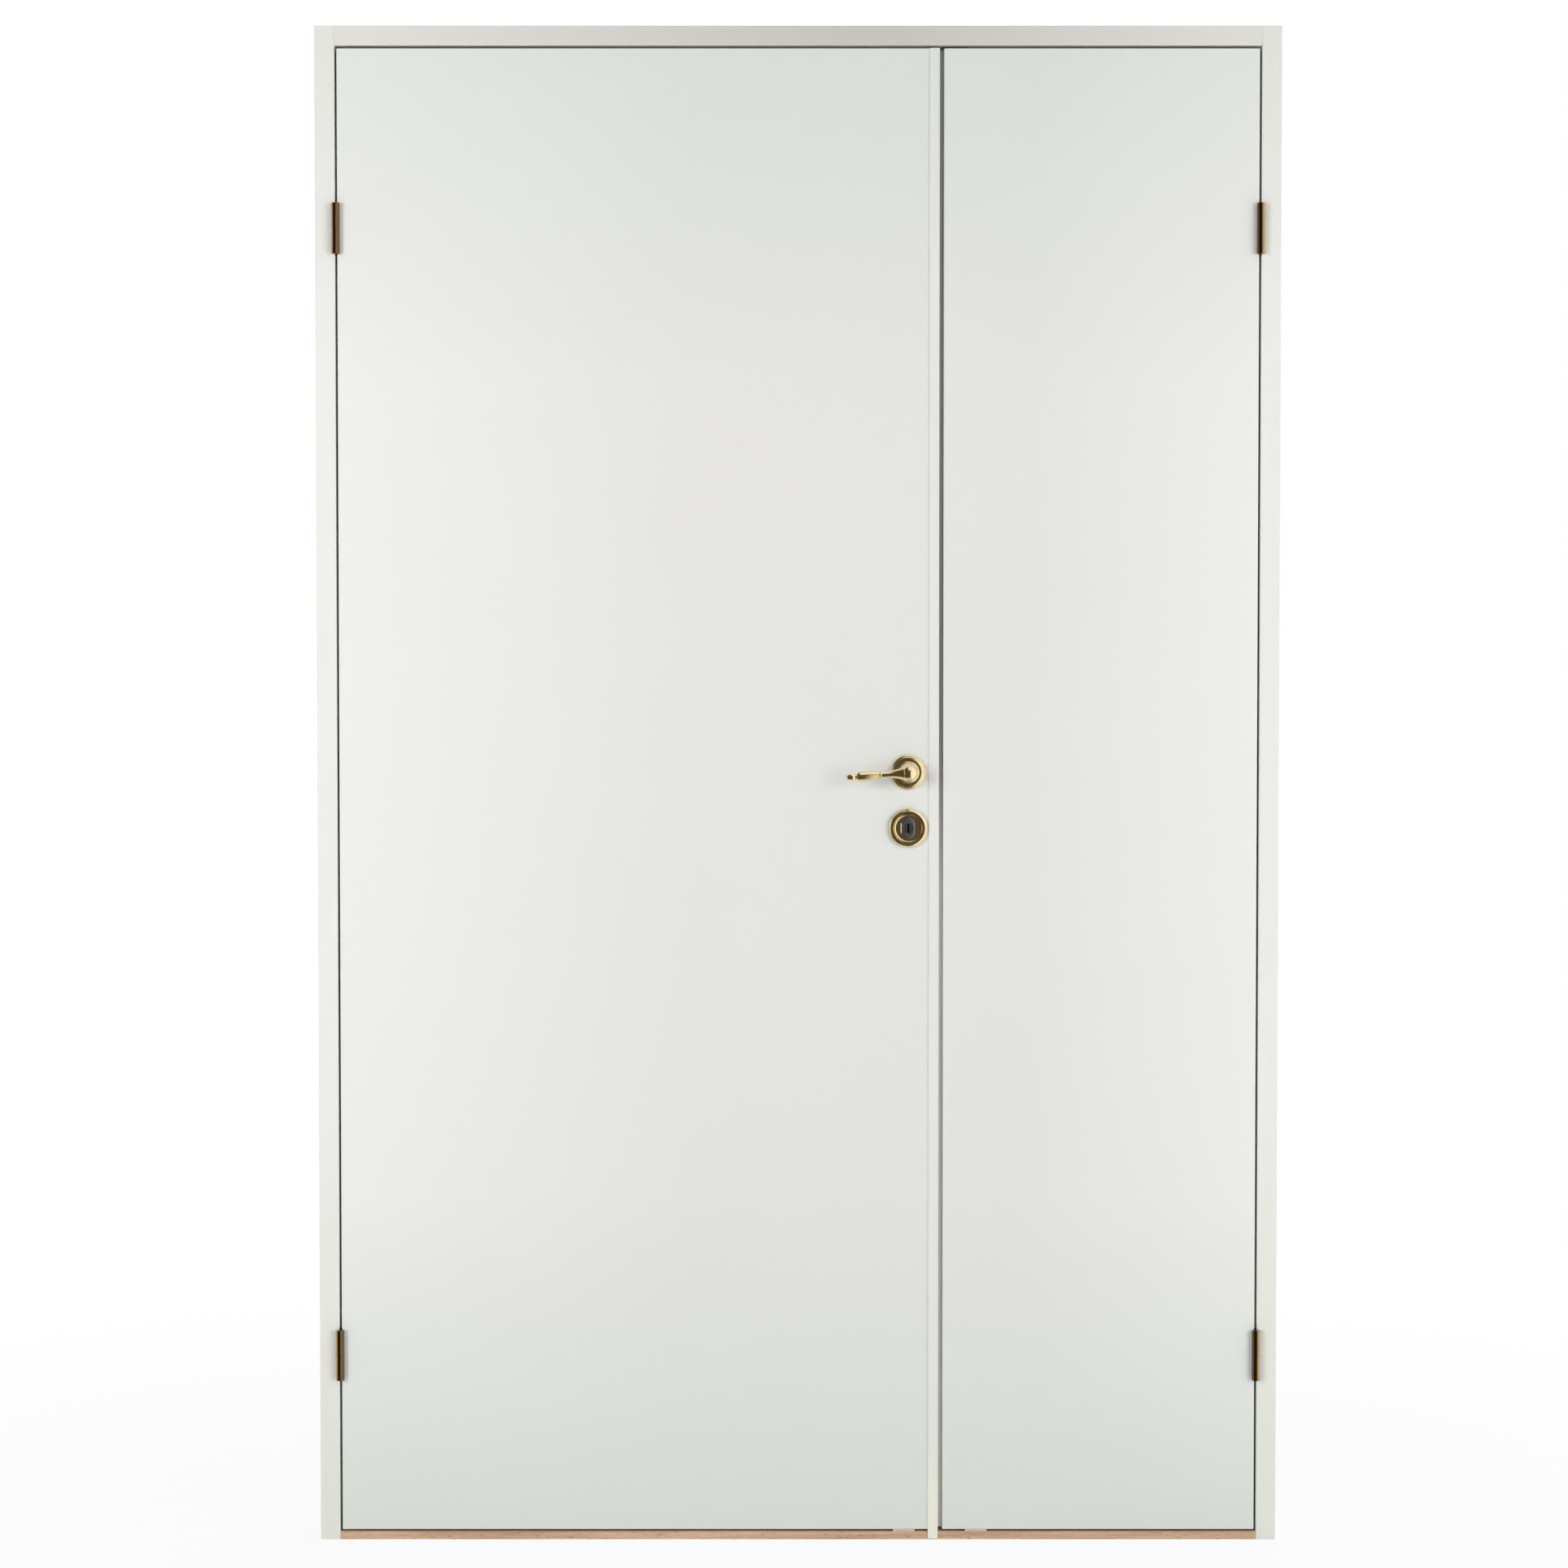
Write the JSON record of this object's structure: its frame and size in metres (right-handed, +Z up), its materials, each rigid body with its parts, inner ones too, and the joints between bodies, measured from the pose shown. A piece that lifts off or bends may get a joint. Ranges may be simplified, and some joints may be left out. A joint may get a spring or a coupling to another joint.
{
  "type": "double interior door",
  "caption": "White flush double interior door with unequal leaves in a rebated frame, with a brass lever handle, lock roundel, lift-off hinges, meeting strip and oak threshold.",
  "frame": {"origin": "on the floor, midway between the frame's outer sides, in the middle of the leaves' thickness", "axes": "+X to the right seen from the side that the leaves open to, +Y away from that side, +Z up"},
  "size_m": [1.323, 0.15, 2.0845],
  "materials": {
    "white_paint": "satin white paint on wood",
    "strip_paint": "cream white paint on wood",
    "oiled_oak": "oiled oak with its grain along X",
    "pad_plastic": "matt plastic",
    "polished_brass": "polished",
    "satin_nickel": "satin, nickel plated",
    "zinc_steel": "bright zinc",
    "white_seal": "matt",
    "grey_seal": "matt"
  },
  "bodies": {
    "frame": {"left_jamb": "white_paint", "right_jamb": "white_paint", "head_jamb": "white_paint", "threshold": "oiled_oak", "threshold_pads": "pad_plastic", "head_keeper": "satin_nickel", "threshold_keeper": "satin_nickel", "keeper_screws": "satin_nickel", "left_seal": "white_seal", "right_seal": "white_seal", "head_seal": "white_seal", "active_lower_frame_hinge": "polished_brass", "active_upper_frame_hinge": "polished_brass", "passive_lower_frame_hinge": "polished_brass", "passive_upper_frame_hinge": "polished_brass", "hinge_pins": "zinc_steel", "frame_hinge_screws": "polished_brass", "corner_screws": "zinc_steel", "fixing_sleeves": "zinc_steel"},
    "active_leaf": {"active_leaf": "white_paint", "meeting_strip": "strip_paint", "meeting_seal": "grey_seal", "active_lower_leaf_hinge": "polished_brass", "active_upper_leaf_hinge": "polished_brass", "active_leaf_hinge_screws": "polished_brass", "lock_case": "zinc_steel", "lock_cover": "zinc_steel", "lock_cover_screws": "zinc_steel", "forend": "satin_nickel", "forend_screws": "satin_nickel", "latch_spring": "zinc_steel", "front_rose_cover": "polished_brass", "back_rose_cover": "polished_brass", "front_rose_base": "zinc_steel", "back_rose_base": "zinc_steel", "rose_screws": "zinc_steel", "cylinder_ring": "polished_brass", "cylinder_housing": "satin_nickel", "thumbturn_rose": "polished_brass"},
    "handle": {"front_lever": "polished_brass", "back_lever": "polished_brass", "spindle": "zinc_steel", "follower": "zinc_steel", "grub_screws": "zinc_steel"},
    "latch": {"latch_bolt": "satin_nickel"},
    "dead_bolt": {"dead_bolt": "satin_nickel"},
    "thumbturn": {"thumbturn": "polished_brass", "turn_spindle": "zinc_steel", "bolt_cam": "zinc_steel"},
    "plug": {"cylinder_plug": "satin_nickel"},
    "passive_leaf": {"passive_leaf": "white_paint", "passive_lower_leaf_hinge": "polished_brass", "passive_upper_leaf_hinge": "polished_brass", "passive_leaf_hinge_screws": "polished_brass", "strike_plate": "satin_nickel", "strike_screws": "satin_nickel", "edge_bolt_plates": "satin_nickel", "edge_bolt_screws": "satin_nickel"},
    "top_edge_bolt": {"top_edge_bolt": "zinc_steel"},
    "bottom_edge_bolt": {"bottom_edge_bolt": "zinc_steel"}
  },
  "joints": [
    {"name": "active_leaf_swing", "type": "hinge", "parent": "frame", "child": "active_leaf", "pos_m": [-0.633, -0.0263, 1.03], "axis": [0, 0, -1], "range_deg": [0, 170]},
    {"name": "passive_leaf_swing", "type": "hinge", "parent": "frame", "child": "passive_leaf", "pos_m": [0.633, -0.0263, 1.03], "axis": [0, 0, 1], "range_deg": [0, 170]},
    {"name": "handle_turn", "type": "hinge", "parent": "active_leaf", "child": "handle", "pos_m": [0.1515, 0, 1.064], "axis": [0, -1, 0], "range_deg": [0, 45], "stiffness_Nm_per_rad": 1, "springref_deg": -28.65},
    {"name": "latch_slide", "type": "slide", "parent": "active_leaf", "child": "latch", "axis": [-1, 0, 0], "range_m": [0, 0.012], "deforming": ["latch_spring"]},
    {"name": "thumbturn_turn", "type": "hinge", "parent": "active_leaf", "child": "thumbturn", "pos_m": [0.1515, 0, 0.987], "axis": [0, 1, 0], "range_deg": [0, 90]},
    {"name": "dead_bolt_slide", "type": "slide", "parent": "active_leaf", "child": "dead_bolt", "axis": [1, 0, 0], "range_m": [0, 0.014]},
    {"name": "plug_turn", "type": "hinge", "parent": "active_leaf", "child": "plug", "pos_m": [0.1515, 0, 0.987], "axis": [0, 1, 0], "range_deg": [0, 90]},
    {"name": "top_edge_bolt_slide", "type": "slide", "parent": "passive_leaf", "child": "top_edge_bolt", "axis": [0, 0, 1], "range_m": [0, 0.012]},
    {"name": "bottom_edge_bolt_slide", "type": "slide", "parent": "passive_leaf", "child": "bottom_edge_bolt", "axis": [0, 0, -1], "range_m": [0, 0.012]}
  ],
  "couplings": [
    {"joint": "latch_slide", "follows": "handle_turn", "m_per_rad": 0.01527},
    {"joint": "dead_bolt_slide", "follows": "thumbturn_turn", "m_per_rad": 0.0089}
  ]
}
